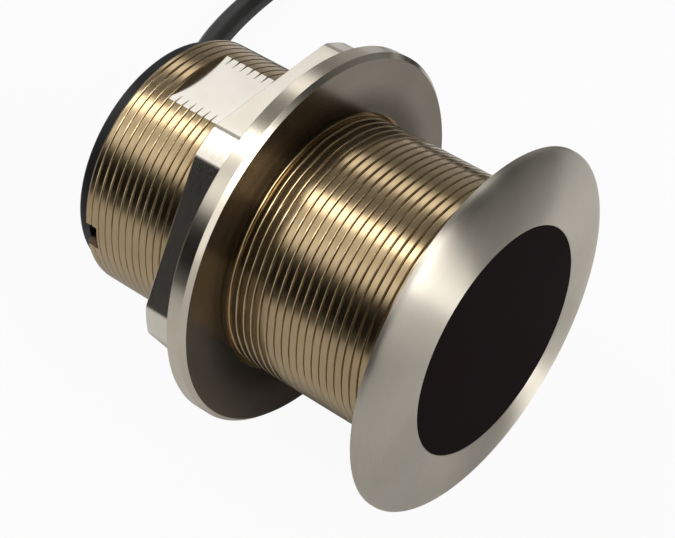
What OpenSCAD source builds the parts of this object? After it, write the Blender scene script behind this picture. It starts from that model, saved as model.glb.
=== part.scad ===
// Bronze through-hull sonar transducer, lying on its side with its cable coiled beside it.
// The stem's axis is X, the acoustic face looks along +X, and the hull seat is the plane x = 0.

/* [Housing] */
// Outside diameter of the stem thread
stem_d = 60; // [58:0.5:64]
// Distance from one thread crest to the next
thread_pitch = 2; // [1.5:0.25:3]
// Depth of the thread grooves
thread_depth = 0.75; // [0.5:0.05:0.9]
// Length of the stem behind the hull seat
stem_len = 84.5; // [80:0.5:100]
// Chamfer on the stem's rear end
stem_chamfer = 1; // [0.5:0.1:1.4]
// Wall of the stem, from the thread crests to the bore behind the acoustic element
stem_wall = 5; // [2.5:0.1:8]
// Diameter of the mushroom flange
flange_d = 84.2; // [78:0.2:100]
// Thickness of the flange at its edge
edge_t = 0.8; // [0.5:0.1:2]
// Height of the acoustic face above the hull seat
face_rise = 4.9; // [4.2:0.1:8]
// Distance across the two wrench flats
flats_w = 57; // [56:0.25:58]
// Distance from the hull seat to the rear end of the wrench flats
flats_end = 76.3; // [70:0.1:79]
// Length of the wrench flats
flats_len = 26; // [15:0.5:30]
// Width of the key notch in the stem's rear end
notch_w = 6; // [4:0.5:8]
// Depth of the key notch along the stem
notch_depth = 4; // [2:0.25:6]

/* [Hull nut] */
// Distance from the hull seat to the nut's clamping face
nut_rest = 42.2; // [10:0.1:55]
// Diameter of the nut's flange
nut_flange_d = 88.3; // [86:0.1:100]
// Thickness of the nut's flange
nut_flange_t = 4.7; // [3:0.1:8]
// Chamfer on the front edge of the nut's flange
nut_chamfer = 1; // [0.4:0.1:1.5]
// Distance across the flats of the hexagon
nut_af = 75; // [72:0.5:80]
// Diameter that the hexagon's corners are turned to
nut_corner_d = 82.7; // [81:0.1:85]
// Height of the hexagon behind the flange
nut_hex_h = 8.55; // [6:0.05:14]
// Chamfer at both ends of the nut's bore
nut_bore_chamfer = 0.8; // [0.4:0.1:1.2]
// Radial clearance of the nut's bore over the thread crests
nut_clear = 0.05; // [0.02:0.01:0.1]

/* [Acoustic element] */
// Diameter of the black window in the face
window_d = 53.2; // [48:0.1:54]
// Thickness of the window
window_t = 4; // [2:0.25:6]
// Width of the ledge that the window is seated on
window_ledge = 0.6; // [0.4:0.1:2]
// Thickness of that ledge where the chamber behind it is wider
ledge_t = 0.5; // [0.3:0.1:1]
// Diameter of the ceramic disc
piezo_d = 44; // [36:0.5:45]
// Thickness of the cork ring round the ceramic
isolation_t = 4; // [2:0.25:6]
// Thickness of the ceramic disc
piezo_t = 10; // [5:0.5:14]
// Thickness of the cork behind the ceramic
backing_t = 5; // [3:0.5:8]
// Distance of the negative joint from the axis
joint_offset = 17; // [10:0.5:19]
// Glue line between pieces that are bonded or potted
bond = 0.05; // [0.03:0.01:0.1]

/* [Cable end] */
// Diameter of the end cap
cap_d = 56.4; // [54.5:0.1:57]
// Thickness of the end cap outside the stem
cap_t = 3.3; // [2:0.1:6]
// Length of the cap's spigot inside the stem
spigot_len = 8; // [5:0.5:12]
// Diameter of the cable
cable_d = 7; // [6:0.25:8]
// Diameter of each conductor with its insulation
wire_d = 1.8; // [1.2:0.1:2.4]
// Length of cable jacket inside the stem
jacket_len = 24; // [18:0.5:30]
// Outside diameter of the ferrule crimped on the jacket
ferrule_d = 11; // [10:0.25:14]
// Length of the ferrule
ferrule_len = 6; // [3:0.5:10]
// Angle between the strain relief and the stem's axis
boot_angle = 50; // [30:1:55]
// Length of the strain relief beyond its bend
boot_len = 16; // [14.5:0.5:20]
// Diameter of the strain relief at its root
boot_root_d = 15; // [13:0.5:18]
// Diameter of the strain relief at its tip
boot_tip_d = 10; // [9:0.25:12]

/* [Coil and plug] */
// Diameter of the coil at the middle of its turns
coil_mid_d = 96.4; // [90:0.2:110]
// Layers of cable in the coil
coil_rows = 5; // [3:1:6]
// Turns of cable side by side in a layer
coil_columns = 6; // [4:1:6]
// Thickness of the ties
tie_t = 1.2; // [0.8:0.1:2]
// Angle round the coil that each tie covers
tie_angle = 9; // [5:1:15]
// Number of ties
tie_count = 3; // [2:1:3]
// Diameter of the plug's grip
plug_d = 18; // [16:0.5:24]
// Length of the plug's grip
grip_len = 24; // [18:1:36]
// Length of the plug's tapered tail
tail_len = 18; // [12:1:30]
// Diameter of the plug's metal shell
shell_d = 15.6; // [14:0.2:15.8]
// Wall of the metal shell
shell_wall = 1.2; // [0.8:0.1:1.6]
// Length of the metal shell in front of the grip
shell_out = 11; // [8:0.5:16]
// Length of the metal shell inside the grip
shell_in = 8; // [5:0.5:12]
// Contacts in the plug
contact_count = 6; // [3:1:8]
// Diameter of the circle that the contacts stand on
contact_circle_d = 8; // [7:0.25:9]
// Outside diameter of each contact sleeve
contact_d = 1.8; // [1.4:0.1:2]

/* [Hidden] */
$fn = 96;

// Colours of the finishes
bronze = "#b09a68";
pale_bronze = "#b9ae9c";
black = "#1c1a1a";
cork = "#8f6a44";
steel = "#b8b8b8";

// A cut runs past the face that it opens by this much
cut_past = 1;

// Stem and thread
stem_r = stem_d / 2;
root_r = stem_r - thread_depth;
groove_side = thread_depth * tan(30);
groove_floor = thread_pitch / 8;
groove_w = 2 * groove_side + groove_floor;
// A small fillet ring stands between the hull seat and the first groove
seat_fillet = 0.3;
thread_start = thread_pitch / 2;
groove_count = floor((stem_len - stem_chamfer - thread_start) / thread_pitch);

// Head
window_r = window_d / 2;
chamber_r = piezo_d / 2 + isolation_t;
// The ledge is wider where the chamber behind it is narrow
ledge_r = min(window_r - window_ledge, chamber_r);
bore_r = stem_r - stem_wall;
flange_r = flange_d / 2;
dome_step = 7.5;

// Axial places, counted from the hull seat
ledge_x = face_rise - window_t;
ledge_back = ledge_x - ledge_t;
piezo_back = ledge_x - piezo_t;
backing_back = piezo_back - backing_t;
stem_end = -stem_len;
cap_end = stem_end - cap_t;
spigot_end = stem_end + spigot_len;
jacket_end = stem_end + jacket_len;
ferrule_x = spigot_end + ferrule_len;
floor_z = -max(nut_flange_d, flange_d) / 2;

// Soldered joints on the ceramic's back
joint_d = 2.4 * wire_d;
joint_h = 0.8 * wire_d;
joint_room = 0.4;
lead_x = piezo_back - joint_h;
lead_split = 0.45 * cable_d / 2;
lead_straight = 4;
lead_steps = 8;
wire_sides = 8;

// Strain relief: a foot on the cap, a bend, and a ringed taper that leaves towards +Y and the floor
foot_t = 1;
foot_d = 1.3 * boot_root_d;
bend_r = 8;
bend_steps = 6;
bend_len = bend_r * tan(boot_angle / 2);
boot_pivot = [cap_end - foot_t - bend_len, 0, 0];
boot_turn = 45;
exit_dir = [-cos(boot_angle), sin(boot_angle) * cos(boot_turn), -sin(boot_angle) * sin(boot_turn)];
boot_tip = boot_pivot + boot_len * exit_dir;
boot_rings = 4;
ring_groove = 0.6;
ring_w = 1.2;
boot_sides = 20;
// Middle line of the strain relief: the cap's face, the bend and the tip
boot_axis = concat(
    [[cap_end, 0, 0]],
    [for (i = [0 : bend_steps]) let (a = boot_angle * i / bend_steps, side = bend_r * (1 - cos(a)))
        boot_pivot + [bend_len - bend_r * sin(a), side * cos(boot_turn), -side * sin(boot_turn)]],
    [boot_tip]);

// Cable from the strain relief to the coil, lying on the floor from its eighth point
cable_r = cable_d / 2;
cable_sides = 10;
rest_z = floor_z + cable_r;
straight_out = 5;
coil_centre = [-83, 256];
coil_z = floor_z + tie_t;
coil_mid_r = coil_mid_d / 2;
coil_half_w = coil_columns * cable_d / 2;
coil_h = coil_rows * cable_d;
coil_top = coil_z + coil_h;
coil_corner = cable_d / 2;
// The ties keep clear of the run's end and of the plug
tie_first = 215;
tie_step = 70;
outer_turn_r = coil_mid_r + coil_half_w - cable_r;
inner_turn_r = coil_mid_r - coil_half_w + cable_r;
run_route = concat([boot_tip, boot_tip + straight_out * exit_dir],
    [[-111.5, 18.5, -18], [-116, 27, -24.5], [-121.5, 37.5, -30.5], [-128, 48, -35], [-135.5, 59.5, -38.5],
     [-142.5, 71.5, rest_z + 0.2], [-146.5, 85, rest_z], [-148.5, 100, rest_z], [-149, 118, rest_z],
     [-149, 136, rest_z], [-149, 154, rest_z], [-149, 172, rest_z], [-149, 190, rest_z],
     [-149, 207, rest_z + 0.4], [-149, 224, rest_z + 0.9], [-148.8, 240, rest_z + tie_t]],
    [[coil_centre[0] - outer_turn_r, coil_centre[1], rest_z + tie_t]]);

// Plug lying on the coil, pointing along +X
plug_r = plug_d / 2;
plug_set = 14;
plug_back = coil_centre[0] + plug_set;
plug_y = coil_centre[1] + inner_turn_r;
plug_z = coil_top + plug_r;
grip_back = tail_len;
grip_front = tail_len + grip_len;
shell_r = shell_d / 2;
shell_back = grip_front - shell_in;
shell_front = grip_front + shell_out;
insert_r = shell_r - shell_wall - bond;
insert_recess = 1;
insert_front = shell_front - insert_recess;
contact_len = 12;
contact_bore_d = contact_d / 2;
contact_bore_depth = 7;
seal_len = 1.6;
grip_grooves = 5;
grip_groove_depth = 0.7;
plug_edge = 1;

// The cable's last quarter turn climbs from the coil's top layer to the plug
climb_steps = 4;
lead_low = coil_top - cable_r;
lead_rise = plug_z - lead_low;
lead_route = concat(
    [for (i = [0 : climb_steps]) let (a = 180 - 90 * i / climb_steps)
        [coil_centre[0] + inner_turn_r * cos(a), coil_centre[1] + inner_turn_r * sin(a),
         lead_low + lead_rise * pow(i / (climb_steps + 1), 1.5)]],
    [[plug_back - cable_d / 2, plug_y, plug_z], [plug_back, plug_y, plug_z]]);

function unit(v) = v / norm(v);
function tangent(p, i) = unit(p[min(i + 1, len(p) - 1)] - p[max(i - 1, 0)]);
function across(t) = unit(cross(t, [0, 0, 1]));

// Points of one ring of a tube, square to the route
function ring(p, i, r, sides) =
    let (t = tangent(p, i), u = across(t), v = cross(u, t))
    [for (k = [0 : sides - 1]) p[i] + r * (cos(360 * k / sides) * u + sin(360 * k / sides) * v)];

// A closed tube along a route
module tube(p, r, sides) {
    n = len(p);
    points = [for (i = [0 : n - 1]) each ring(p, i, r, sides)];
    walls = [for (i = [0 : n - 2], k = [0 : sides - 1]) let (m = (k + 1) % sides)
        each [[i * sides + k, i * sides + m, (i + 1) * sides + m],
              [i * sides + k, (i + 1) * sides + m, (i + 1) * sides + k]]];
    ends = [[for (k = [sides - 1 : -1 : 0]) k], [for (k = [0 : sides - 1]) (n - 1) * sides + k]];
    polyhedron(points = points, faces = concat(walls, ends), convexity = 10);
}

// A profile of [radius, x] points turned about the X axis
module turned(profile) {
    rotate([0, 90, 0]) rotate_extrude() polygon(profile);
}

// A round bar or cone from one point to another
module bar(from, to, r1, r2) {
    d = to - from;
    translate(from)
        rotate([0, acos(d[2] / norm(d)), atan2(d[1], d[0])])
            cylinder(h = norm(d), r1 = r1, r2 = r2);
}

// A rectangle with round corners, as [radius, z] points about its middle
function round_box(w, h, r) =
    [for (q = [0 : 3], a = [0 : 22.5 : 90])
        let (sx = (q == 0 || q == 3) ? 1 : -1, sy = q < 2 ? 1 : -1)
        [sx * (w / 2 - r), sy * (h / 2 - r)] + r * [cos(90 * q + a), sin(90 * q + a)]];

function shifted(points, by) = [for (p = points) p + by];

// A profile without the points that turn no corner
function corners(p) = let (n = len(p))
    [for (i = [0 : n - 1]) let (a = p[(i + n - 1) % n], b = p[i], c = p[(i + 1) % n])
        if (abs(cross(b - a, c - b)) > 0.0001) b];

// One groove of the thread, as [radius, x] points from front to rear
function groove(i) = let (x = -thread_start - i * thread_pitch)
    [[stem_r, x], [root_r, x - groove_side],
     [root_r, x - groove_side - groove_floor], [stem_r, x - groove_w]];

// The convex face of the head, from the flange's edge to the window
dome = [for (a = [0 : dome_step : 90])
    [window_r + (flange_r - window_r) * cos(a), edge_t + (face_rise - edge_t) * sin(a)]];

// The window's ledge, the chamber of the acoustic element and the bore behind it
housing_bore = [[window_r, ledge_x], [ledge_r, ledge_x], [ledge_r, ledge_back], [chamber_r, ledge_back],
    [chamber_r, backing_back], [bore_r, backing_back], [bore_r, stem_end]];

housing_profile = corners(concat(
    dome,
    housing_bore,
    [[stem_r - stem_chamfer, stem_end], [stem_r, stem_end + stem_chamfer]],
    [for (i = [groove_count - 1 : -1 : 0], k = [3 : -1 : 0]) groove(i)[k]],
    [[stem_r, -seat_fillet], [stem_r + seat_fillet, 0], [flange_r, 0]]));

module wrench_flats() {
    for (side = [0, 180])
        rotate([side, 0, 0])
            translate([-flats_end, -stem_d / 2, flats_w / 2]) cube([flats_len, stem_d, stem_d / 4]);
}

module key_notch() {
    translate([stem_end - cut_past, -stem_r - cut_past, -notch_w / 2])
        cube([notch_depth + cut_past, stem_r - bore_r + 2 * cut_past, notch_w]);
}

module housing() {
    color(bronze) difference() {
        turned(housing_profile);
        wrench_flats();
        key_notch();
    }
}

module hull_nut() {
    back = -nut_rest - nut_flange_t;
    rear = back - nut_hex_h;
    bore = stem_r + nut_clear;
    mouth = bore + nut_bore_chamfer;
    rim = nut_flange_d / 2;
    color(pale_bronze) difference() {
        union() {
            turned([[0, back], [rim, back], [rim, -nut_rest - nut_chamfer], [rim - nut_chamfer, -nut_rest],
                    [0, -nut_rest]]);
            translate([rear, 0, 0]) rotate([0, 90, 0]) intersection() {
                linear_extrude(nut_hex_h) rotate(30) circle(d = nut_af / cos(30), $fn = 6);
                cylinder(h = nut_hex_h, d = nut_corner_d);
            }
        }
        turned([[0, rear - cut_past], [mouth, rear - cut_past], [mouth, rear],
                [bore, rear + nut_bore_chamfer], [bore, -nut_rest - nut_bore_chamfer],
                [mouth, -nut_rest], [mouth, -nut_rest + cut_past], [0, -nut_rest + cut_past]]);
    }
}

module acoustic_window() {
    r = window_r - bond;
    color(black) turned([[0, ledge_x], [r, ledge_x], [r, face_rise], [0, face_rise]]);
}

module piezo_disc() {
    r = piezo_d / 2;
    color("#d8c9a8") turned([[0, piezo_back], [r, piezo_back], [r, ledge_x], [0, ledge_x]]);
}

module isolation_ring() {
    inner = piezo_d / 2 + bond;
    outer = chamber_r - bond;
    front = ledge_r - bond;
    color(cork) turned(corners([[inner, piezo_back], [outer, piezo_back], [outer, ledge_back],
                                [front, ledge_back], [front, ledge_x], [inner, ledge_x]]));
}

// Places of the two joints on the ceramic's back, as [y, z]
joints = [[0, 0], [0, -joint_offset]];

module backing_disc() {
    r = chamber_r - bond;
    color(cork) difference() {
        turned([[0, backing_back], [r, backing_back], [r, piezo_back], [0, piezo_back]]);
        for (j = joints)
            translate([backing_back - cut_past, j[0], j[1]]) rotate([0, 90, 0])
                cylinder(h = backing_t + 2 * cut_past, d = joint_d + 2 * joint_room);
    }
}

module solder_joints() {
    color(steel)
        for (j = joints) bar([piezo_back, j[0], j[1]], [lead_x, j[0], j[1]], joint_d / 2, wire_d / 2);
}

// Route of a conductor from the jacket's end, at height z, in a smooth sweep to a joint
function lead_path(z, joint) = concat(
    [[jacket_end, 0, z]],
    [for (i = [0 : lead_steps]) let (t = i / lead_steps, s = t * t * (3 - 2 * t))
        [jacket_end + lead_straight + t * (backing_back - jacket_end - 2 * lead_straight), joint[0],
         z + s * (joint[1] - z)]],
    [[lead_x, joint[0], joint[1]]]);

module positive_lead() {
    color("#b03a2e") tube(lead_path(lead_split, joints[0]), wire_d / 2, wire_sides);
}

module negative_lead() {
    color("#2c3e75") tube(lead_path(-lead_split, joints[1]), wire_d / 2, wire_sides);
}

module cable_tail() {
    route = concat([[jacket_end, 0, 0]], boot_axis);
    color(black) tube(route, cable_r, cable_sides);
}

module cable_ferrule() {
    inner = cable_r + bond;
    color(steel) turned([[inner, spigot_end], [ferrule_d / 2, spigot_end], [ferrule_d / 2, ferrule_x],
                         [inner, ferrule_x]]);
}

// The same route for the resin's tunnel, which opens into the jacket's hole
function tunnel_path(z, joint) = concat([[jacket_end - cut_past, 0, z]], lead_path(z, joint));

module potting_fill() {
    r = bore_r - bond;
    jacket = cable_r + bond;
    crimp = ferrule_d / 2 + bond;
    color("#3a3a3c") difference() {
        turned([[0, spigot_end], [r, spigot_end], [r, backing_back], [0, backing_back]]);
        turned([[0, spigot_end - cut_past], [crimp, spigot_end - cut_past], [crimp, ferrule_x + bond],
                [jacket, ferrule_x + bond], [jacket, jacket_end], [0, jacket_end]]);
        tube(tunnel_path(lead_split, joints[0]), wire_d / 2 + bond, wire_sides);
        tube(tunnel_path(-lead_split, joints[1]), wire_d / 2 + bond, wire_sides);
    }
}

module end_cap() {
    r = cap_d / 2;
    hole = cable_r + bond;
    edge = cap_t / 3;
    color(black) turned(concat(
        [[hole, cap_end]],
        [for (a = [0 : 15 : 90]) [r - edge + edge * sin(a), cap_end + edge - edge * cos(a)]],
        [[r, stem_end], [bore_r - bond, stem_end], [bore_r - bond, spigot_end], [hole, spigot_end]]));
}

// Places along the strain relief as [point, outside radius], from its foot on the cap to its tip
function taper_r(z) = (boot_root_d + (boot_tip_d - boot_root_d) * z / boot_len) / 2;
function taper_at(z) = boot_pivot + z * exit_dir;
boot_stations = concat(
    [[boot_axis[0], foot_d / 2], [boot_axis[1], foot_d / 2]],
    [for (i = [1 : bend_steps + 1]) [boot_axis[i], boot_root_d / 2]],
    [for (i = [boot_rings : -1 : 1]) let (z = boot_len - 2 * i * ring_w)
        each [[taper_at(z), taper_r(z)], [taper_at(z), taper_r(z) - ring_groove],
              [taper_at(z + ring_w), taper_r(z + ring_w) - ring_groove],
              [taper_at(z + ring_w), taper_r(z + ring_w)]]],
    [[boot_tip, boot_tip_d / 2]]);

// A bent sleeve with a hole of radius r
module cable_boot() {
    p = [for (s = boot_stations) s[0]];
    n = len(p);
    m = len(boot_axis);
    c = boot_sides;
    r = (cable_r + bond) / cos(180 / c);
    points = concat([for (i = [0 : n - 1]) each ring(p, i, boot_stations[i][1], c)],
                    [for (i = [0 : m - 1]) each ring(boot_axis, i, r, c)]);
    outside = [for (i = [0 : n - 2], k = [0 : c - 1]) let (j = (k + 1) % c, a = i * c)
        each [[a + k, a + j, a + c + j], [a + k, a + c + j, a + c + k]]];
    inside = [for (i = [n : n + m - 2], k = [0 : c - 1]) let (j = (k + 1) % c, a = i * c)
        each [[a + k, a + c + j, a + j], [a + k, a + c + k, a + c + j]]];
    ends = [for (k = [0 : c - 1]) let (j = (k + 1) % c, a = (n - 1) * c, b = n * c, d = (n + m - 1) * c)
        each [[j, k, b + k], [j, b + k, b + j], [a + k, a + j, d + j], [a + k, d + j, d + k]]];
    color(black) polyhedron(points = points, faces = concat(outside, inside, ends), convexity = 6);
}

module cable_run() {
    color(black) tube(run_route, cable_r, cable_sides);
}

module cable_lead() {
    color(black) tube(lead_route, cable_r, cable_sides);
}

coil_place = [coil_centre[0], coil_centre[1], coil_z + coil_h / 2];

module cable_coil() {
    color(black) translate(coil_place) rotate_extrude()
        polygon(shifted(round_box(2 * coil_half_w, coil_h, coil_corner), [coil_mid_r, 0]));
}

module coil_ties() {
    color("#303034") translate(coil_place)
        for (i = [0 : tie_count - 1])
            rotate(tie_first + tie_step * i - tie_angle / 2) rotate_extrude(angle = tie_angle) difference() {
                polygon(shifted(round_box(2 * (coil_half_w + tie_t), coil_h + 2 * tie_t, coil_corner + tie_t),
                                [coil_mid_r, 0]));
                polygon(shifted(round_box(2 * coil_half_w, coil_h, coil_corner), [coil_mid_r, 0]));
            }
}

// Stands a piece of the plug, drawn along +X from its tail, on the coil
module at_plug() {
    translate([plug_back, plug_y, plug_z]) children();
}

// Grip groove number i, as [radius, x] points
function grip_groove(i) = let (pitch = grip_len / (grip_grooves + 1), x = grip_back + i * pitch)
    [[plug_r, x - pitch / 4], [plug_r - grip_groove_depth, x - pitch / 8],
     [plug_r - grip_groove_depth, x + pitch / 8], [plug_r, x + pitch / 4]];

module plug_body() {
    pocket = shell_r + bond;
    color(black) at_plug() turned(concat(
        [[0, 0], [0.7 * plug_r - plug_edge, 0], [0.7 * plug_r, plug_edge],
         [0.8 * plug_r, grip_back - plug_edge], [plug_r, grip_back]],
        [for (i = [1 : grip_grooves], k = [0 : 3]) grip_groove(i)[k]],
        [[plug_r, grip_front - plug_edge], [plug_r - plug_edge / 2, grip_front], [pocket, grip_front],
         [pocket, shell_back], [0, shell_back]]));
}

module plug_shell() {
    inner = shell_r - shell_wall;
    edge = plug_edge / 2;
    color(steel) at_plug() turned([[inner, shell_back], [shell_r, shell_back], [shell_r, shell_front - edge],
                                   [shell_r - edge, shell_front], [inner, shell_front]]);
}

// Places children at the plug's contacts
module each_contact() {
    for (i = [0 : contact_count - 1])
        rotate([360 * i / contact_count, 0, 0]) translate([0, 0, contact_circle_d / 2]) children();
}

module plug_insert() {
    color("#4a4a4e") at_plug() difference() {
        turned([[0, shell_back], [insert_r, shell_back], [insert_r, insert_front], [0, insert_front]]);
        each_contact() translate([insert_front - contact_len, 0, 0]) rotate([0, 90, 0])
            cylinder(h = contact_len + cut_past, d = contact_d + 2 * bond);
    }
}

module plug_contacts() {
    color("#c9a640") at_plug() each_contact() translate([insert_front - contact_len, 0, 0])
        rotate([0, 90, 0]) difference() {
            cylinder(h = contact_len, d = contact_d);
            translate([0, 0, contact_len - contact_bore_depth])
                cylinder(h = contact_bore_depth + cut_past, d = contact_bore_d);
        }
}

module plug_seal() {
    inner = shell_r + bond;
    outer = plug_r - plug_edge / 2;
    front = grip_front + seal_len;
    color("#7a2f28") at_plug()
        turned([[inner, grip_front], [outer, grip_front], [outer, front], [inner, front]]);
}

housing();
hull_nut();
acoustic_window();
piezo_disc();
isolation_ring();
backing_disc();
positive_lead();
negative_lead();
solder_joints();
potting_fill();
end_cap();
cable_boot();
cable_tail();
cable_ferrule();
cable_run();
cable_coil();
cable_lead();
coil_ties();
plug_body();
plug_shell();
plug_insert();
plug_contacts();
plug_seal();
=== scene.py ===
"""Looks of a bronze through-hull sonar transducer that lies on its side, with its cable coiled behind it."""

import math

import bmesh
import bpy
import numpy as np
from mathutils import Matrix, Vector


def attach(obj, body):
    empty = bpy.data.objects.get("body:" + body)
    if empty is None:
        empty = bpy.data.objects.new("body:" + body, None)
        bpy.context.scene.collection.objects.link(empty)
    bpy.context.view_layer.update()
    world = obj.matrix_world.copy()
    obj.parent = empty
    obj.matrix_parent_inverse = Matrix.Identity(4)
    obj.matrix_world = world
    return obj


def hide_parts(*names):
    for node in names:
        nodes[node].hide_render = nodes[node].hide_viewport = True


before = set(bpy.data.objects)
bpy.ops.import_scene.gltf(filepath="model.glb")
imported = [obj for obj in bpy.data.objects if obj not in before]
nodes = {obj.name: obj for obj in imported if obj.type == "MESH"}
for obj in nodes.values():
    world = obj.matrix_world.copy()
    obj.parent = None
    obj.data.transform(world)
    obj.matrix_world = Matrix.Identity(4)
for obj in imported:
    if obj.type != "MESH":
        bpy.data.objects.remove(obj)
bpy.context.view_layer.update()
scene = bpy.context.scene
BODY, NUT = "transducer", "nut"
MM = 0.001
TAU, QUARTER = 2 * math.pi, math.pi / 2

# Sizes in millimetres, as in the CAD source; X runs along the stem, towards the acoustic face
CLEAR = 0.05
STEM_R, STEM_END, CHAMFER = 30.0, -84.5, 1.0
PITCH, DEPTH = 2.0, 0.75
FLANGE_R, EDGE_T, FACE = 42.1, 0.8, 4.9
WINDOW_R, LEDGE_X = 26.6, 0.9
CHAMBER_R, CHAMBER_X, BORE_R = 26.0, -14.1, 25.0
FLAT_Z, FLAT_REAR, FLAT_FRONT = 28.5, -76.3, -50.3
NOTCH_HALF, NOTCH_X = 3.0, -80.5
NUT_RIM, NUT_FACE, NUT_BACK, NUT_REAR = 44.15, -42.2, -46.9, -55.45
HEX_HALF, HEX_CORNER = 37.5, 41.35
CAP_R, CAP_EDGE, CAP_END, SPIGOT_LEN = 28.2, 1.1, -87.8, 8.0
CABLE_R = 3.5
CABLE_HOLE = CABLE_R + CLEAR
PLUG_R = 9.0
FLOOR = -NUT_RIM  # the nut's round flange lies on it


def link(o):
    scene.collection.objects.link(o)
    return o


# Materials

class Tree:
    """Short calls for building the nodes of a material or of the world."""

    def __init__(self, owner, output="OutputMaterial"):
        owner.use_nodes = True
        self.t = owner.node_tree
        self.t.nodes.clear()
        self.out = self.add(output)

    def add(self, kind, settings=None, **inputs):
        n = self.t.nodes.new("ShaderNode" + kind)
        for k, v in (settings or {}).items():
            setattr(n, k, v)
        for k, v in inputs.items():
            self.put(n, k.replace("_", " "), v)
        return n

    def put(self, n, key, v):
        """Link or set one input, found by its name or its number. Colours need no alpha."""
        socket = n.inputs[key]
        if isinstance(v, bpy.types.NodeSocket):
            self.t.links.new(v, socket)
        else:
            socket.default_value = (*v, 1.0) if socket.type == "RGBA" else v

    def fill(self, n, *values):
        """Link or set the first inputs in their order."""
        for i, v in enumerate(values):
            self.put(n, i, v)
        return n

    def math(self, op, *values):
        return self.fill(self.add("Math", {"operation": op}), *values).outputs[0]

    def plus(self, a, b):
        return self.math("ADD", a, b)

    def times(self, a, b):
        return self.math("MULTIPLY", a, b)

    def span(self, v, a, b, c, d):
        """c where v is at a, d where it is at b, and a smooth step between."""
        return self.fill(self.add("MapRange", {"interpolation_type": "SMOOTHSTEP"}), v, a, b, c, d).outputs[0]

    def ramp(self, fac, stops):
        n = self.add("ValToRGB", Fac=fac)
        e = n.color_ramp.elements
        while len(e) < len(stops):
            e.new(0.5)
        for k, (place, color) in zip(e, stops):
            k.position = place
            k.color = (*color, 1.0)
        return n.outputs["Color"]

    def blend(self, kind, fac, a, b):
        return self.fill(self.add("MixRGB", {"blend_type": kind}), fac, a, b).outputs[0]

    def noise(self, vector, scale, detail=3.0, rough=0.6):
        return self.add("TexNoise", Vector=vector, Scale=scale, Detail=detail, Roughness=rough).outputs[0]

    def object_xyz(self):
        return self.add("TexCoord").outputs["Object"]

    def apart(self, vector):
        """The vector's x, y and z."""
        return self.add("SeparateXYZ", Vector=vector).outputs

    def scaled(self, v, s):
        return self.fill(self.add("VectorMath", {"operation": "MULTIPLY"}), v, s).outputs[0]

    def lathe_xyz(self):
        """What turning marks follow: x, the distance from the stem's axis and a little of the angle.

        Returns that as a vector, and the distance by itself.
        """
        x, y, z = self.apart(self.object_xyz())
        r = self.math("SQRT", self.plus(self.times(y, y), self.times(z, z)))
        little = self.times(self.math("ARCTAN2", z, y), 0.0006)
        return self.add("CombineXYZ", X=x, Y=r, Z=little).outputs[0], r

    def bump(self, height, strength, distance):
        return self.add("Bump", Height=height, Strength=strength, Distance=distance).outputs[0]

    def surface(self, shader):
        self.t.links.new(shader.outputs[0], self.out.inputs["Surface"])

    def principled(self, **inputs):
        self.surface(self.add("BsdfPrincipled", **inputs))


WHITE = (1.0, 1.0, 1.0)
MARK_H, GRAIN_H = 0.00004, 0.00005  # heights of tool marks and of moulded grain, in metres


def material(name):
    m = bpy.data.materials.new(name)
    return m, Tree(m)


def between(dark, light):
    return [(0.3, dark), (0.7, light)]


def turned_metal(name, dark, light, rough, spread, aniso, marks, grit, inward=None):
    """Lathe-turned bronze: fine marks round the axis, slow colour drift and small specks.

    inward holds an inner and an outer radius, a tone and a roughness. The metal takes on both on the way in,
    so the tone is painted shade that darkens it towards the axis.
    """
    m, t = material(name)
    ring, r = t.lathe_xyz()
    lines = t.noise(ring, marks, 4.0, 0.7)
    drift = t.noise(t.object_xyz(), 55.0, 4.0)
    specks = t.noise(t.object_xyz(), 900.0, 2.0, 0.5)
    color = t.ramp(t.plus(t.times(drift, 0.65), t.times(lines, 0.35)), between(dark, light))
    wear = t.plus(t.times(lines, spread), t.times(specks, spread * 0.5))
    # Painted shade: the colour darkens towards the axis between the two radii
    if inward:
        inner, outer, tone, dull = inward
        shaded_in = t.span(r, inner * MM, outer * MM, 1.0, 0.0)
        color = t.blend("MULTIPLY", shaded_in, color, tone)
        wear = t.plus(wear, t.times(shaded_in, dull))
    tangent = t.add("Tangent", {"direction_type": "RADIAL", "axis": "X"}).outputs[0]
    height = t.plus(lines, t.times(specks, 0.4))
    t.principled(Base_Color=color, Metallic=1.0, Roughness=t.plus(wear, rough - spread * 0.75),
                 Anisotropic=aniso, Anisotropic_Rotation=0.25, Tangent=tangent,
                 Normal=t.bump(height, grit, MARK_H))
    return m


def milled_metal(name, dark, light, rough, along, grit):
    """Milled metal: straight cutter marks, with their number in a metre along each axis."""
    m, t = material(name)
    p = t.object_xyz()
    lines = t.noise(t.scaled(p, along), 1.0)
    drift = t.noise(p, 70.0)
    color = t.ramp(t.plus(t.times(lines, 0.4), t.times(drift, 0.6)), between(dark, light))
    t.principled(Base_Color=color, Metallic=1.0, Roughness=t.plus(t.times(lines, 0.12), rough),
                 Normal=t.bump(lines, grit, MARK_H))
    return m


def plastic(name, dark, light, rough, grain, grit, sheen=0.0, spec=0.5):
    """Moulded plastic, rubber or resin: fine grain, and patches that are a little duller."""
    m, t = material(name)
    p = t.object_xyz()
    fine, slow = t.noise(p, grain), t.noise(p, 40.0)
    patches = 0.18
    t.principled(Base_Color=t.ramp(slow, between(dark, light)),
                 Roughness=t.plus(t.times(slow, patches), rough - patches / 2), Specular_IOR_Level=spec,
                 Sheen_Weight=sheen, Normal=t.bump(fine, grit, GRAIN_H))
    return m


# The thread's grooves carry painted shade: the colour darkens towards the groove floor
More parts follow.
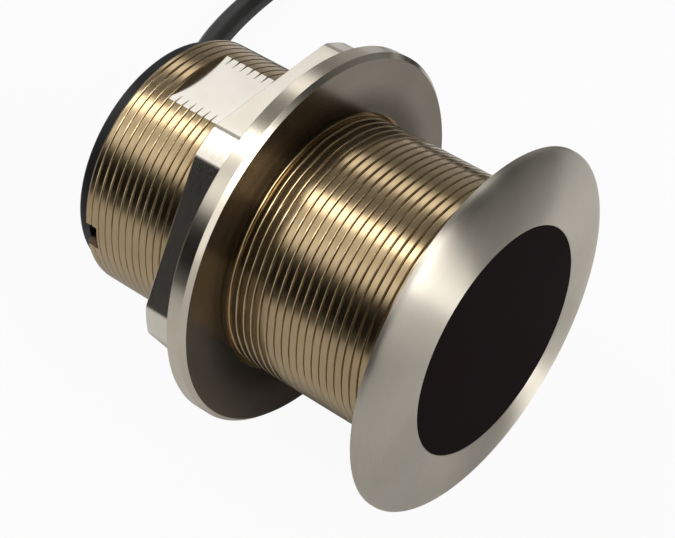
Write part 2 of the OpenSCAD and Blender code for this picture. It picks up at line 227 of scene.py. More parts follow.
STEM = turned_metal("bronze_thread", (0.42, 0.315, 0.181), (0.58, 0.44, 0.255), rough=0.17, spread=0.08,
                    aniso=0.0, marks=3500.0, grit=0.08,
                    inward=(STEM_R - 0.5, STEM_R - 0.03, (0.68, 0.68, 0.71), 0.35))
HEAD = turned_metal("bronze_face", (0.58, 0.535, 0.455), (0.69, 0.64, 0.55), rough=0.42, spread=0.05,
                    aniso=1.0, marks=5200.0, grit=0.05)
NUT_TURNED = turned_metal("nut_bronze", (0.60, 0.54, 0.44), (0.75, 0.68, 0.565), rough=0.21, spread=0.06,
                          aniso=0.3, marks=4200.0, grit=0.03)
# The nut's face is a darker copy of the nut's bronze, painted shade, and darkens further towards the bore as a
# painted contact shadow
NUT_FACE_SHADED = turned_metal("nut_face_painted_shade", (0.202, 0.168, 0.134), (0.260, 0.222, 0.178), rough=0.20, spread=0.06,
                         aniso=0.3, marks=4200.0, grit=0.01, inward=(31.5, 39.0, (0.34, 0.32, 0.31), 0.0))
ACROSS = (300.0, 3500.0, 300.0)
# The wrench flats are a lighter copy of the stem's bronze: painted highlight
FLAT_LIT = milled_metal("bronze_flat_painted_light", (0.79, 0.74, 0.66), (0.89, 0.845, 0.765), rough=0.16,
                    along=ACROSS, grit=0.06)
# The flats' end walls are a dark copy of the flats' bronze: painted shade
WALL_SHADED = milled_metal("flat_end_wall_painted_shade", (0.16, 0.12, 0.07), (0.21, 0.16, 0.092), rough=0.34,
                    along=ACROSS, grit=0.06)
# The hexagon's flats are a lighter copy of the nut's bronze: painted light
NUT_HEX_LIT = milled_metal("nut_flat_painted_light", (0.79, 0.73, 0.62), (0.92, 0.865, 0.755), rough=0.18,
                       along=(4000.0, 250.0, 250.0), grit=0.02)
STEEL = milled_metal("satin_steel", (0.50, 0.50, 0.50), (0.62, 0.62, 0.61), rough=0.26,
                     along=(3000.0, 300.0, 300.0), grit=0.10)
GOLD = milled_metal("contact_gold", (0.66, 0.46, 0.16), (0.80, 0.58, 0.24), rough=0.22,
                    along=(900.0, 900.0, 900.0), grit=0.08)
RESIN = plastic("black_resin", (0.0038, 0.0015, 0.0017), (0.0062, 0.0025, 0.0029), rough=0.62, grain=2600.0,
                grit=0.10, spec=0.03)
CAP = plastic("black_cap", (0.007, 0.0066, 0.0068), (0.013, 0.0122, 0.0126), rough=0.42, grain=2200.0,
              grit=0.15, spec=0.25)
JACKET = plastic("cable_jacket", (0.011, 0.0104, 0.0098), (0.020, 0.019, 0.018), rough=0.38, grain=1500.0,
                 grit=0.15, sheen=0.02, spec=0.55)
RUBBER = plastic("boot_rubber", (0.014, 0.014, 0.015), (0.026, 0.026, 0.027), rough=0.52, grain=1800.0,
                 grit=0.25, sheen=0.05)
NYLON = plastic("tie_nylon", (0.035, 0.035, 0.038), (0.060, 0.060, 0.064), rough=0.42, grain=1600.0, grit=0.2)
GRIP = plastic("plug_grip", (0.013, 0.013, 0.014), (0.024, 0.024, 0.026), rough=0.44, grain=2000.0, grit=0.25)
INSERT = plastic("plug_insert_plastic", (0.06, 0.06, 0.066), (0.10, 0.10, 0.108), rough=0.40, grain=2000.0,
                 grit=0.15)
SEAL = plastic("seal_rubber", (0.20, 0.030, 0.022), (0.28, 0.045, 0.034), rough=0.50, grain=1500.0, grit=0.15)
CERAMIC = plastic("fired_ceramic", (0.60, 0.53, 0.41), (0.72, 0.64, 0.50), rough=0.55, grain=900.0, grit=0.15)
CORK = plastic("cork_sheet", (0.20, 0.12, 0.06), (0.46, 0.30, 0.17), rough=0.80, grain=700.0, grit=0.6)
POTTING = plastic("potting_resin", (0.02, 0.02, 0.021), (0.035, 0.035, 0.037), rough=0.40, grain=800.0,
                  grit=0.1)
RED = plastic("red_insulation", (0.38, 0.02, 0.015), (0.48, 0.03, 0.02), rough=0.40, grain=900.0, grit=0.1)
BLUE = plastic("blue_insulation", (0.015, 0.04, 0.25), (0.02, 0.06, 0.34), rough=0.40, grain=900.0, grit=0.1)

for name, look in {
    "acoustic_window": RESIN, "piezo_disc": CERAMIC, "isolation_ring": CORK, "backing_disc": CORK,
    "positive_lead": RED, "negative_lead": BLUE, "solder_joints": STEEL, "potting_fill": POTTING,
    "cable_tail": JACKET, "cable_ferrule": STEEL, "coil_ties": NYLON, "plug_contacts": GOLD,
    "housing": STEM, "hull_nut": NUT_TURNED, "end_cap": CAP, "cable_boot": RUBBER, "cable_run": JACKET,
    "cable_coil": JACKET, "cable_lead": JACKET, "plug_body": GRIP, "plug_shell": STEEL,
    "plug_insert": INSERT, "plug_seal": SEAL,
}.items():
    nodes[name].data.materials.clear()
    nodes[name].data.materials.append(look)


# Mesh building: rings of points bridged into closed skins

class Skin:
    """Collects rings, faces with their material slots, and sharp edges. Points are in millimetres."""

    def __init__(self):
        self.co, self.faces, self.slots, self.sharp, self.count = [], [], [], set(), 0

    def ring(self, points):
        points = np.asarray(points, float)
        start = self.count
        self.co.append(points)
        self.count += len(points)
        return list(range(start, self.count))

    def face(self, ids, slot=0):
        kept = [v for i, v in enumerate(ids) if v != ids[i - 1]]
        if len(kept) > 2:
            self.faces.append(kept)
            self.slots.append(slot)

    def bridge(self, a, b, slot=0, skip=(), only=None):
        """Join two rings column by column. slot is one number, or a function of the column."""
        n = len(a)
        for k in (range(n) if only is None else only):
            if k not in skip:
                j = (k + 1) % n
                self.face([a[k], a[j], b[j], b[k]], slot(k) if callable(slot) else slot)

    def line(self, ids):
        """Make the edges along these points sharp."""
        self.sharp.update((min(a, b), max(a, b)) for a, b in zip(ids, ids[1:]))

    def crease(self, ring):
        self.line(ring + ring[:1])

    def build(self, name, materials):
        me = bpy.data.meshes.new(name)
        me.from_pydata((np.concatenate(self.co) * MM).tolist(), [], self.faces)
        for m in materials:
            me.materials.append(m)
        me.polygons.foreach_set("material_index", self.slots)
        bm = bmesh.new()
        bm.from_mesh(me)
        bmesh.ops.recalc_face_normals(bm, faces=bm.faces)
        bm.to_mesh(me)
        bm.free()
        me.polygons.foreach_set("use_smooth", [True] * len(me.polygons))
        ends = np.zeros(len(me.edges) * 2, np.int32)
        me.edges.foreach_get("vertices", ends)
        ends = np.sort(ends.reshape(-1, 2), axis=1)
        me.edges.foreach_set("use_edge_sharp", [(int(a), int(b)) in self.sharp for a, b in ends])
        me.update()
        return link(bpy.data.objects.new(name, me))


def circle(r, x, angles, centre=(0.0, 0.0)):
    return [(x, centre[0] + r * math.cos(a), centre[1] + r * math.sin(a)) for a in angles]


def lathe(name, profile, mat, sides, centre=(0.0, 0.0), closed=True):
    """A turned skin about a line along X. profile holds (radius, x); a third value False means no crease."""
    s = Skin()
    angles = [TAU * k / sides for k in range(sides)]
    rings = []
    for r, x, *crease in profile:
        if r == 0:
            rings.append(s.ring([(x, *centre)]) * sides)
        else:
            rings.append(s.ring(circle(r, x, angles, centre)))
            if all(crease):
                s.crease(rings[-1])
    for a, b in zip(rings, rings[1:]):
        s.bridge(a, b)
    if closed:
        s.bridge(rings[-1], rings[0])
    return s.build(name, [mat])


def arc(c, r, a0, a1, n):
    """Points (radius, x, no crease) on a circular fillet about c = (radius, x)."""
    return [(c[0] + r * math.cos(a), c[1] + r * math.sin(a), False) for a in np.linspace(a0, a1, n + 1)]


def piece(o, node, body):
    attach(o, body)
    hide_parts(node)
    return o


# Camera at the photograph's angle

CAMERA_AT = (0.16594, -0.24739, 0.30276)
CAMERA_LOOKS = (-0.45807865, 0.55683658, -0.6928903)

cam_data = bpy.data.cameras.new("camera")
cam_data.sensor_width = 36.0
cam_data.lens = 109.06
cam_data.clip_start = 0.01
camera = link(bpy.data.objects.new("camera", cam_data))
camera.location = CAMERA_AT
camera.rotation_euler = Vector(CAMERA_LOOKS).to_track_quat("-Z", "Y").to_euler()
scene.camera = camera


# Cable: one spline from the strain relief, along the floor, round the coil and into the plug

BOOT_ANGLE, BOOT_LEN, BEND_R, FOOT_T = math.radians(50), 16.0, 8.0, 1.0
BEND_LEN = BEND_R * math.tan(BOOT_ANGLE / 2)
PIVOT = np.array((CAP_END - FOOT_T - BEND_LEN, 0.0, 0.0))
DOWN = math.sqrt(0.5)
SIDE = np.array((0.0, DOWN, -DOWN))  # the way the boot bends: half down and half towards +Y
EXIT = np.array((-math.cos(BOOT_ANGLE), 0.0, 0.0)) + math.sin(BOOT_ANGLE) * SIDE
TIP = PIVOT + BOOT_LEN * EXIT
TIE_T = 1.2
REST_Z = FLOOR + CABLE_R
COIL = np.array((-83.0, 256.0))
MID_R, COLUMNS, ROWS = 48.2, 6, 5
OUTER = MID_R + (COLUMNS - 1) * CABLE_R
INNER = MID_R - (COLUMNS - 1) * CABLE_R
COIL_TOP = FLOOR + TIE_T + ROWS * 2 * CABLE_R
PLUG = np.array((COIL[0] + 14.0, COIL[1] + INNER, COIL_TOP + PLUG_R))
LANE_X, LANE_Y, LANE_STEP = -149.0, 118.0, 18.0
STEP = 3.0

leave = [TIP, TIP + 5 * EXIT]
fall = [(-111.5, 18.5, -18), (-116, 27, -24.5), (-121.5, 37.5, -30.5), (-128, 48, -35), (-135.5, 59.5, -38.5)]
land = [(-142.5, 71.5, REST_Z + 0.2), (-146.5, 85, REST_Z), (-148.5, 100, REST_Z)]
lane = [(LANE_X, LANE_Y + LANE_STEP * i, REST_Z) for i in range(5)]
onto_ties = [(LANE_X, 207, REST_Z + 0.4), (LANE_X, 224, REST_Z + 0.9), (-148.8, 240, REST_Z + TIE_T),
             (COIL[0] - OUTER, COIL[1], REST_Z + TIE_T)]


def smooth_line(points, first, last):
    """A cubic spline through the points, with the given directions at its ends."""
    p = np.asarray(points, float)
    h = np.linalg.norm(np.diff(p, axis=0), axis=1)
    n = len(p)
    a, b = np.zeros((n, n)), np.zeros((n, 3))
    a[0, 0], b[0] = 1, first
    a[-1, -1], b[-1] = 1, last
    for i in range(1, n - 1):
        a[i, i - 1], a[i, i], a[i, i + 1] = h[i], 2 * (h[i - 1] + h[i]), h[i - 1]
        b[i] = 3 * (h[i] * (p[i] - p[i - 1]) / h[i - 1] + h[i - 1] * (p[i + 1] - p[i]) / h[i])
    d = np.linalg.solve(a, b)
    out = []
    for i in range(n - 1):
        m = max(2, int(math.ceil(h[i] / STEP)))
        for t in np.arange(m) / m:
            u = 1 - t
            out.append(u * u * (1 + 2 * t) * p[i] + t * t * (3 - 2 * t) * p[i + 1]
                       + h[i] * t * u * (u * d[i] - t * d[i + 1]))
    out.append(p[-1])
    return np.array(out)


run = smooth_line(leave + fall + land + lane + onto_ties, EXIT, (0, 1, 0))
run[:, 2] = np.maximum(run[:, 2], REST_Z)

# The coil winds clockwise seen from above, in, out, in, out and in again, one layer higher each time
PER_TURN, TURNS = 32, COLUMNS - 1
PER_ROW = TURNS * PER_TURN
CHANGE = PER_TURN / 4  # steps before and after the end of a layer in which the cable climbs to the next
coil = []
for row in range(ROWS):
    top = row == ROWS - 1
    z = FLOOR + TIE_T + CABLE_R + row * 2 * CABLE_R
    for i in range(PER_ROW + top):
        inward = i / PER_ROW if row % 2 == 0 else 1 - i / PER_ROW
        r = OUTER - (OUTER - INNER) * inward
        a = math.pi - TAU * (row * TURNS + i / PER_TURN)
        left = PER_ROW - i
        lift = 0.0
        if row > 0 and i < CHANGE:
            lift = -CABLE_R * (1 - math.sin(QUARTER * i / CHANGE))
        if not top and left < CHANGE:
            lift = CABLE_R * (1 - math.sin(QUARTER * left / CHANGE))
        coil.append((COIL[0] + r * math.cos(a), COIL[1] + r * math.sin(a), z + lift))

# The last quarter turn climbs to the plug, which lies on the coil
CLIMB = 5
low = COIL_TOP - CABLE_R
climb = []
for i in range(CLIMB):
    a = math.pi - QUARTER * i / (CLIMB - 1)
    climb.append((COIL[0] + INNER * math.cos(a), COIL[1] + INNER * math.sin(a),
                  low + (PLUG[2] - low) * (i / CLIMB) ** 1.5))
climb += [PLUG - (CABLE_R, 0, 0), PLUG]
lead = smooth_line(climb, (0, 1, 0), (1, 0, 0))

path = np.concatenate([run[:-1], coil[:-1], lead]) * MM

curve = bpy.data.curves.new("cable", "CURVE")
curve.dimensions = "3D"
curve.bevel_depth = CABLE_R * MM
curve.bevel_resolution = 3
curve.use_fill_caps = True
spline = curve.splines.new("POLY")
spline.points.add(len(path) - 1)
spline.points.foreach_set("co", np.c_[path, np.ones(len(path))].ravel())
spline.use_smooth = True
curve.materials.append(JACKET)
cable = link(bpy.data.objects.new("cable", curve))
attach(cable, BODY)
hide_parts("cable_run", "cable_coil", "cable_lead")


# Housing: mushroom head, threaded stem with two milled flats, and the key notch

THREAD, TURNED, MILLED, SHADED_END_WALL = range(4)  # material slots
GROOVE_FLOOR, GROOVE_SIDE = 0.02, 0.21       # shares of half a pitch
ROWS_PER_PITCH, DOME_STEPS = 16, 30
MERGE = 0.04                                 # rows of points nearer than this to an edge are left out
FACE_EDGE, FLANGE_EDGE = 0.15, 0.2
PHI0 = math.radians(15.5)                    # half angle of the columns that become a flat
ROUNDS = 6                                   # enough for the angles on the thread to settle

# Columns of points round the stem, each group from its first column to the next group's
N_ARC, N_FLAT, N_SIDE, N_NOTCH = 52, 10, 24, 4
C_TOP = N_ARC
C_TOP_END = C_TOP + N_FLAT
C_NOTCH = C_TOP_END + N_SIDE
C_NOTCH_END = C_NOTCH + N_NOTCH
C_LOW = C_NOTCH_END + N_SIDE
NCOL = C_LOW + N_FLAT
FLAT_COLS = [*range(C_TOP, C_TOP_END), *range(C_LOW, NCOL)]
SUNK_COLS = [k for k in FLAT_COLS if k not in (C_TOP, C_LOW)]
BORDERS = (C_TOP, C_TOP_END, C_LOW, 0)
NOTCH_COLS = range(C_NOTCH, C_NOTCH_END)


def thread_r(a, x):
    """Broad crests between narrow grooves, on a right-hand helix."""
    u = (x / PITCH - a / TAU) % 1.0
    t = np.clip((np.abs(u - 0.5) * 2 - GROOVE_FLOOR) / GROOVE_SIDE, 0, 1)
    r = STEM_R - DEPTH * (1 - t * t * (3 - 2 * t))
    return np.minimum(r, STEM_R - CHAMFER + (x - STEM_END))


def columns(flats, notch):
    """Angles of one ring, from the half angles of the four flat borders and of the notch's two sides."""
    top, back, bottom = QUARTER, 2 * QUARTER, 3 * QUARTER
    edges = [flats[3] - QUARTER, top - flats[0], top + flats[1], back - notch[0], back + notch[1],
             bottom - flats[2], bottom + flats[3]]
    counts = (N_ARC, N_FLAT, N_SIDE, N_NOTCH, N_SIDE, N_FLAT)
    return np.concatenate([np.linspace(a, b, n, endpoint=False) for a, b, n in zip(edges, edges[1:], counts)])


def stem_ring(x, on_flat):
    """One ring of the stem, with columns where the notch and, on the flats, their borders meet the thread."""
    notch = []
    for sign in (-1, 1):
        v = 0.0
        for _ in range(ROUNDS):
            v = math.asin(NOTCH_HALF / float(thread_r(2 * QUARTER + sign * v, x)))
        notch.append(v)
    flats = [PHI0] * 4
    if on_flat:
        for i, (centre, sign) in enumerate(((1, -1), (1, 1), (3, -1), (3, 1))):
            for _ in range(ROUNDS):
                r = float(thread_r(centre * QUARTER + sign * flats[i], x))
                flats[i] = math.acos(min(1.0, FLAT_Z / r))
    a = columns(flats, notch)
    r = thread_r(a, x)
    return np.c_[np.full(NCOL, x), r * np.cos(a), r * np.sin(a)]


def cut_flat(p):
    """The ring with its two flat spans straightened."""
    p = p.copy()
    for first, last in ((C_TOP, C_TOP_END), (C_LOW, NCOL)):
        z = math.copysign(FLAT_Z, p[first, 2])
        p[first:last, 1] = np.linspace(p[first, 1], p[last % NCOL, 1], last - first, endpoint=False)
        p[first:last, 2] = z
        p[last % NCOL, 2] = z
    return p


def flat_slot(k):
    return MILLED if k in FLAT_COLS else THREAD


def housing():
    s = Skin()
    base = columns([PHI0] * 4, [math.asin(NOTCH_HALF / STEM_R)] * 2)
    bore_cols = columns([PHI0] * 4, [math.asin(NOTCH_HALF / BORE_R)] * 2)

    # The window's pocket, the dome, and the flange's rear
    ledge = s.ring(circle(CHAMBER_R, LEDGE_X, base))
    pocket = s.ring(circle(WINDOW_R, LEDGE_X, base))
    rim = s.ring(circle(WINDOW_R, FACE - FACE_EDGE, base))
    last = s.ring(circle(WINDOW_R + FACE_EDGE, FACE, base))
    for a, b in ((ledge, pocket), (pocket, rim), (rim, last)):
        s.bridge(a, b, TURNED)
        s.crease(b)
    for i in range(1, DOME_STEPS + 1):
        a = QUARTER * (1 - i / DOME_STEPS)
        now = s.ring(circle(WINDOW_R + (FLANGE_R - WINDOW_R) * math.cos(a),
                            EDGE_T + (FACE - EDGE_T) * math.sin(a), base))
        s.bridge(last, now, TURNED)
        last = now
    for r, x in ((FLANGE_R, FLANGE_EDGE), (FLANGE_R - FLANGE_EDGE, 0.0), (STEM_R, 0.0)):
        now = s.ring(circle(r, x, base))
        s.bridge(last, now, TURNED)
        s.crease(now)
        last = now

    # The stem, row by row; the flats' ends have two rings in one place, on the thread and sunk
    edges = {FLAT_FRONT: "flat", FLAT_REAR: "flat", NOTCH_X: "notch", STEM_END: "end"}
    step = PITCH / ROWS_PER_PITCH
    rows = [(x, "") for x in np.arange(-step, STEM_END, -step) if min(abs(x - e) for e in edges) > MERGE]
    on_flat, notch_rows = False, []
    for x, mark in sorted([*rows, *edges.items()], reverse=True):
        p = stem_ring(x, on_flat or mark == "flat")
        now = following = s.ring(cut_flat(p) if on_flat and mark != "flat" else p)
        if mark == "flat":
            high, low = now, list(now)
            for k, v in zip(SUNK_COLS, s.ring(cut_flat(p)[SUNK_COLS])):
                low[k] = v
            s.bridge(high, low, SHADED_END_WALL, only=FLAT_COLS)
            for ring in (high, low):
                s.line([ring[k] for k in range(C_TOP, C_TOP_END + 1)])
                s.line([ring[k % NCOL] for k in range(C_LOW, NCOL + 1)])
            now, following = (low, high) if on_flat else (high, low)
        s.bridge(last, now, flat_slot if on_flat else THREAD, skip=NOTCH_COLS if notch_rows else ())
        if on_flat:
            for k in BORDERS:
                s.line([last[k], now[k]])
        if mark == "flat":
            on_flat = not on_flat
        if mark == "notch" or notch_rows:
            notch_rows.append(now)
        last = following
    s.crease(last)

    # The bore, and the key notch through the wall at the stem's end
    bore_end = s.ring(circle(BORE_R, STEM_END, bore_cols))
    bore_in = s.ring(circle(BORE_R, NOTCH_X, bore_cols))
    s.bridge(last, bore_end, THREAD, skip=NOTCH_COLS)
    s.bridge(bore_end, bore_in, THREAD, skip=NOTCH_COLS)
    shoulder_in = s.ring(circle(BORE_R, CHAMBER_X, bore_cols))
    shoulder_out = s.ring(circle(CHAMBER_R, CHAMBER_X, base))
    for a, b in ((bore_in, shoulder_in), (shoulder_in, shoulder_out), (shoulder_out, ledge)):
        s.bridge(a, b, THREAD)
        s.crease(b)
    s.bridge(notch_rows[0], bore_in, THREAD, only=NOTCH_COLS)
    for k in (C_NOTCH, C_NOTCH_END):
        wall = [row[k] for row in notch_rows] + [bore_end[k], bore_in[k]]
        s.face(wall, THREAD)
        s.crease(wall)
    for ring in (notch_rows[0], bore_in):
        s.line(ring[C_NOTCH:C_NOTCH_END + 1])
    s.crease(bore_end)
    return s.build("housing_bronze", [STEM, HEAD, FLAT_LIT, WALL_SHADED])


piece(housing(), "housing", BODY)


# Hull nut: round flange and a hexagon whose corners are turned

def hexagon():
    """The hexagon's outline as (y, z) points."""
    soft = 3.7  # radius of the edge between a flat and a turned corner
    on_flat, on_edge, on_corner = 18, 9, 6
    mid = np.array((HEX_HALF - soft, math.sqrt((HEX_CORNER - soft) ** 2 - (HEX_HALF - soft) ** 2)))
    turn = math.atan2(mid[1], mid[0])
    sixth = TAU / 6
    flat = [(HEX_HALF, q) for q in np.linspace(-mid[1], mid[1], on_flat)]
    edge = [(mid[0] + soft * math.cos(a), mid[1] + soft * math.sin(a))
            for a in np.linspace(0, turn, on_edge)[1:]]
    corner = [(HEX_CORNER * math.cos(a), HEX_CORNER * math.sin(a))
              for a in np.linspace(turn, sixth - turn, on_corner)[1:-1]]
    c, s = math.cos(sixth), math.sin(sixth)
    next_edge = [(c * p + s * q, s * p - c * q) for p, q in reversed(edge)]
    outline = []
    for i in range(6):
        c, s = math.cos(sixth * (i + 0.5)), math.sin(sixth * (i + 0.5))
        outline += [(p * c - q * s, p * s + q * c) for p, q in flat + edge + corner + next_edge]
    return np.array(outline)


def hull_nut():
    s = Skin()
    outline = hexagon()
    angles = np.arctan2(outline[:, 1], outline[:, 0])
    turned, hexed, front = range(3)
    lead_in, rim_edge, back_edge, hex_edge = 0.8, 1.0, 0.3, 0.35
    bore = STEM_R + CLEAR
    mouth = bore + lead_in

    def ring(r, x):
        return s.ring(circle(r, x, angles))

    def hex_ring(x, shrink=0.0):
        return s.ring([(x, y, z) for y, z in outline * (1 - shrink / HEX_HALF)])

    # Each ring with the slot of the strip that follows it
    strips = [(ring(bore, NUT_FACE - lead_in), turned), (ring(mouth, NUT_FACE), front),
              (ring(NUT_RIM - rim_edge, NUT_FACE), turned), (ring(NUT_RIM, NUT_FACE - rim_edge), turned),
              (ring(NUT_RIM, NUT_BACK + back_edge), turned), (ring(NUT_RIM - back_edge, NUT_BACK), turned),
              (hex_ring(NUT_BACK), hexed), (hex_ring(NUT_REAR + hex_edge), hexed),
              (hex_ring(NUT_REAR, hex_edge), turned), (ring(mouth, NUT_REAR), turned),
              (ring(bore, NUT_REAR + lead_in), turned)]
    for (a, slot), (b, _) in zip(strips, strips[1:] + strips[:1]):
        s.bridge(a, b, slot)
        s.crease(a)
    return s.build("hull_nut_bronze", [NUT_TURNED, NUT_HEX_LIT, NUT_FACE_SHADED])


piece(hull_nut(), "hull_nut", NUT)


# End cap and strain relief

spigot_r, spigot_end = BORE_R - CLEAR, STEM_END + SPIGOT_LEN
cap_profile = [(CABLE_HOLE, CAP_END)]
cap_profile += arc((CAP_R - CAP_EDGE, CAP_END + CAP_EDGE), CAP_EDGE, -QUARTER, 0, 8)
cap_profile += [(CAP_R, STEM_END), (spigot_r, STEM_END), (spigot_r, spigot_end), (CABLE_HOLE, spigot_end)]
piece(lathe("end_cap_black", cap_profile, CAP, 128), "end_cap", BODY)


def boot():
    """A bent, ringed sleeve from the cap's face to the cable."""
    root, tip, groove, width, rings = 7.5, 5.0, 0.6, 1.2, 4
    foot, foot_edge, lip, slope = 1.3 * root, 0.5, 0.3, 0.15
    bend_steps, lip_steps, inner_steps, sides = 12, 4, 6, 40
    cap_point = np.array((CAP_END, 0.0, 0.0))
    start = PIVOT + (BEND_LEN, 0, 0)
    ahead = np.array((-1.0, 0.0, 0.0))

    def on_bend(a):
        return start + BEND_R * (math.sin(a) * ahead + (1 - math.cos(a)) * SIDE)

    def along(a):
        return math.cos(a) * ahead + math.sin(a) * SIDE

    def taper(z):
        return root + (tip - root) * z / BOOT_LEN

    # Places along the sleeve: point, direction, radius and whether it has a crease
    outer = [(cap_point, ahead, foot, True), (cap_point + foot_edge * ahead, ahead, foot, True),
             (start, ahead, foot - foot_edge, True), (start, ahead, root + lip, True)]
    for i in range(1, bend_steps + 1):
        a = BOOT_ANGLE * i / bend_steps
        outer.append((on_bend(a), along(a), root + lip * (1 - min(1, i / lip_steps)), False))
    for i in range(rings, 0, -1):
        z = BOOT_LEN - 2 * i * width
        for q, d in ((0, 0), (slope, groove), (width - slope, groove), (width, 0)):
            outer.append((PIVOT + (z + q) * EXIT, EXIT, taper(z + q) - d, True))
    outer += [(TIP - lip * EXIT, EXIT, tip, True), (TIP, EXIT, tip - lip, True)]
    inner = [(TIP, EXIT, CABLE_HOLE, True)]
    for i in range(inner_steps, -1, -1):
        a = BOOT_ANGLE * i / inner_steps
        inner.append((on_bend(a), along(a), CABLE_HOLE, False))
    inner.append((cap_point, ahead, CABLE_HOLE, True))

    s = Skin()
    angles = [TAU * k / sides for k in range(sides)]
    loops = []
    for p, t, r, crease in outer + inner:
        u = np.cross(t, (0, 0, 1.0))
        u /= np.linalg.norm(u)
        v = np.cross(u, t)
        loops.append(s.ring([p + r * (math.cos(a) * u + math.sin(a) * v) for a in angles]))
        if crease:
            s.crease(loops[-1])
    for a, b in zip(loops, loops[1:] + loops[:1]):
        s.bridge(a, b)
    return s.build("cable_boot_rubber", [RUBBER])


piece(boot(), "cable_boot", BODY)


# Plug on the coil, with its sizes along X from the end where the cable enters

TAIL, GRIP_END, SHELL_BACK, SHELL_END = 18.0, 42.0, 34.0, 53.0
TAIL_R, NECK_R, SHELL_R, SHELL_BORE = 6.3, 7.2, 7.8, 6.6
TAIL_EDGE, GROOVE = 1.0, 0.7
PLUG_SIDES = 72


def plug_part(name, profile, mat, node, closed=True):
    placed = [(r, PLUG[0] + x, *crease) for r, x, *crease in profile]
    return piece(lathe(name, placed, mat, PLUG_SIDES, (PLUG[1], PLUG[2]), closed), node, BODY)


def ring_groove(r, x, half, floor_half):
    """A groove across x, as (radius, x) points."""
    return [(r, x - half), (r - GROOVE, x - floor_half), (r - GROOVE, x + floor_half), (r, x + half)]


tail_grooves = []
for i in range(5):
    z = 3.0 + 2.6 * i
    r = TAIL_R + (NECK_R - TAIL_R) * (z - TAIL_EDGE) / (TAIL - 2 * TAIL_EDGE)
    tail_grooves += ring_groove(r, z + 0.7, 0.7, 0.5)
grip_grooves = []
for i in range(1, 6):
    grip_grooves += ring_groove(PLUG_R, TAIL + 4.0 * i, 1.0, 0.5)
plug_body = plug_part(
    "plug_body_grip",
    [(0, 0), (TAIL_R - TAIL_EDGE, 0), (TAIL_R, TAIL_EDGE)] + tail_grooves
    + [(NECK_R, TAIL - TAIL_EDGE), (PLUG_R - 0.4, TAIL), (PLUG_R, TAIL + 0.4)] + grip_grooves
    + [(PLUG_R, GRIP_END - 1.0), (PLUG_R - 0.5, GRIP_END), (SHELL_R + CLEAR, GRIP_END),
       (SHELL_R + CLEAR, SHELL_BACK), (0, SHELL_BACK)], GRIP, "plug_body", closed=False)

LINE_R, LINE_BACK, LINE_FRONT = SHELL_R - 0.35, SHELL_END - 5.0, SHELL_END - 4.2
plug_shell = plug_part(
    "plug_shell_steel",
    [(SHELL_BORE, SHELL_BACK), (SHELL_R, SHELL_BACK), (SHELL_R, LINE_BACK - 0.2), (LINE_R, LINE_BACK),
     (LINE_R, LINE_FRONT), (SHELL_R, LINE_FRONT + 0.2), (SHELL_R, SHELL_END - 0.5),
     (SHELL_R - 0.5, SHELL_END), (SHELL_BORE + 0.2, SHELL_END), (SHELL_BORE, SHELL_END - 0.2)],
    STEEL, "plug_shell")

SEAL_R, SEAL_W, SEAL_L = SHELL_R + CLEAR, 0.65, 0.8
plug_seal = plug_part(
    "plug_seal_ring",
    [(SEAL_R, GRIP_END), (SEAL_R + SEAL_W, GRIP_END)]
    + [(SEAL_R + SEAL_W * math.sin(a), GRIP_END + SEAL_L - SEAL_L * math.cos(a), False)
       for a in np.linspace(QUARTER, math.pi, 7)], SEAL, "plug_seal")


# Floor: white paper, with places in metres

FLOOR_HALF = 6.0
m, t = material("floor_white")
rays = t.add("LightPath").outputs
mirrored = t.math("MAXIMUM", rays["Is Glossy Ray"], rays["Is Transmission Ray"])
grain = t.noise(t.object_xyz(), 30.0, 2.0, 0.5)
x, y, _ = t.apart(t.object_xyz())

# Painted shade, seen only in the metal: the paper darkens far off on the near left and the far right
near_left = t.times(t.span(y, -0.42, -0.16, 1.0, 0.0), t.span(x, -0.08, 0.06, 1.0, 0.0))
far_right = t.times(t.span(y, 0.05, 0.13, 0.0, 0.9), t.span(x, 0.05, 0.12, 0.0, 1.0))
shade = t.times(t.plus(near_left, far_right), mirrored)
paper = t.add("BsdfDiffuse", Color=t.ramp(t.math("SUBTRACT", t.span(grain, 0.3, 0.7, 0.97, 1.0), shade),
                                          [(0.0, (0.05, 0.05, 0.05)), (1.0, (0.62, 0.62, 0.62))]))
glow = t.add("Emission", Color=WHITE, Strength=1.0)

# Painted light, seen only in the metal: the paper glows most in front of the face; the camera sees the white
# background all round
glow_before_face = t.times(t.span(x, -0.04, 0.03, 0.0, 1.0), t.span(y, 0.06, 0.17, 1.0, 0.0))
glow_before_face = t.times(glow_before_face, t.span(y, -0.04, 0.03, 0.25, 1.0))
glow_before_face = t.times(glow_before_face, t.span(y, 0.04, 0.08, 0.55, 1.05))
away = t.fill(t.add("VectorMath", {"operation": "LENGTH"}), t.object_xyz()).outputs["Value"]
seen = t.plus(t.times(rays["Is Camera Ray"], t.span(away, 0.4, 1.6, 0.94, 1.0)),
              t.times(mirrored, t.plus(t.times(glow_before_face, 0.58), 0.02)))
t.surface(t.fill(t.add("MixShader"), seen, paper.outputs[0], glow.outputs[0]))

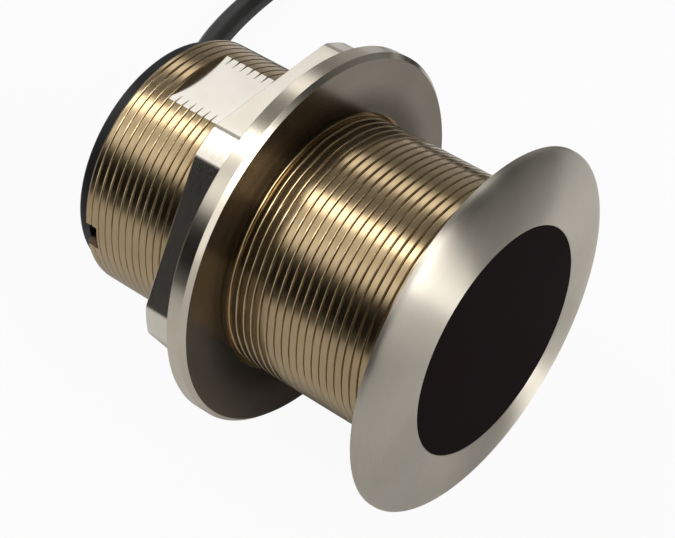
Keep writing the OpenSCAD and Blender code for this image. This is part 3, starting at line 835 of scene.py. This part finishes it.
corners = [(i * FLOOR_HALF, j * FLOOR_HALF, FLOOR * MM) for i, j in ((-1, -1), (1, -1), (1, 1), (-1, 1))]
floor_mesh = bpy.data.meshes.new("floor")
floor_mesh.from_pydata(corners, [], [(0, 1, 2, 3)])
floor_mesh.materials.append(m)
floor = link(bpy.data.objects.new("floor", floor_mesh))


# Light: a studio of bands that run along the stem, behind, ahead and in front of the face

world = bpy.data.worlds.new("studio")
scene.world = world
t = Tree(world, "OutputWorld")
x, y, z = t.apart(t.add("TexCoord").outputs["Generated"])
half_turn = t.math("ABSOLUTE", t.math("DIVIDE", t.math("ARCTAN2", z, y), math.pi))


def bands(stops):
    """Light levels by the angle over the stem: 0 straight behind it, 90 over the top, 180 on the near side."""
    return t.ramp(half_turn, [(a / 180, (v, v, v)) for a, v in stops])


behind = bands([
    (0, 0.36), (18, 0.34), (28, 0.22), (40, 0.20),              # far wall
    (45, 0.8), (49, 1.3), (58, 1.6), (63, 0.5), (70, 0.26),     # small box
    (82, 0.20), (92, 0.4), (97, 4.0), (104, 4.0), (110, 1.0),   # strip overhead
    (121, 0.85), (131, 1.25), (139, 1.1), (145, 0.40),          # broad box
    (150, 0.05), (160, 0.010), (180, 0.010)])                   # dark side of the room
ahead = bands([(0, 0.22), (40, 0.10), (88, 0.08), (94, 0.10), (124, 0.06), (180, 0.03)])
front = bands([
    (0, 0.04), (48, 0.04), (64, 0.3),                           # dark far side
    (80, 0.9), (84, 6.0), (124, 6.0), (128, 1.4),               # wide box overhead
    (145, 1.2), (180, 1.2)])                                    # near wall
sky = t.blend("MIX", t.span(x, -0.05, 0.15, 0.0, 1.0), behind, ahead)
sky = t.blend("MIX", t.span(x, 0.58, 0.66, 0.0, 1.0), sky, front)
lit = t.add("Background", Color=sky, Strength=1.0)
white = t.add("Background", Color=WHITE, Strength=1.0)
to_camera = t.add("LightPath").outputs["Is Camera Ray"]
t.surface(t.fill(t.add("MixShader"), to_camera, lit.outputs[0], white.outputs[0]))

scene.view_settings.view_transform = "Standard"

bpy.context.view_layer.update()
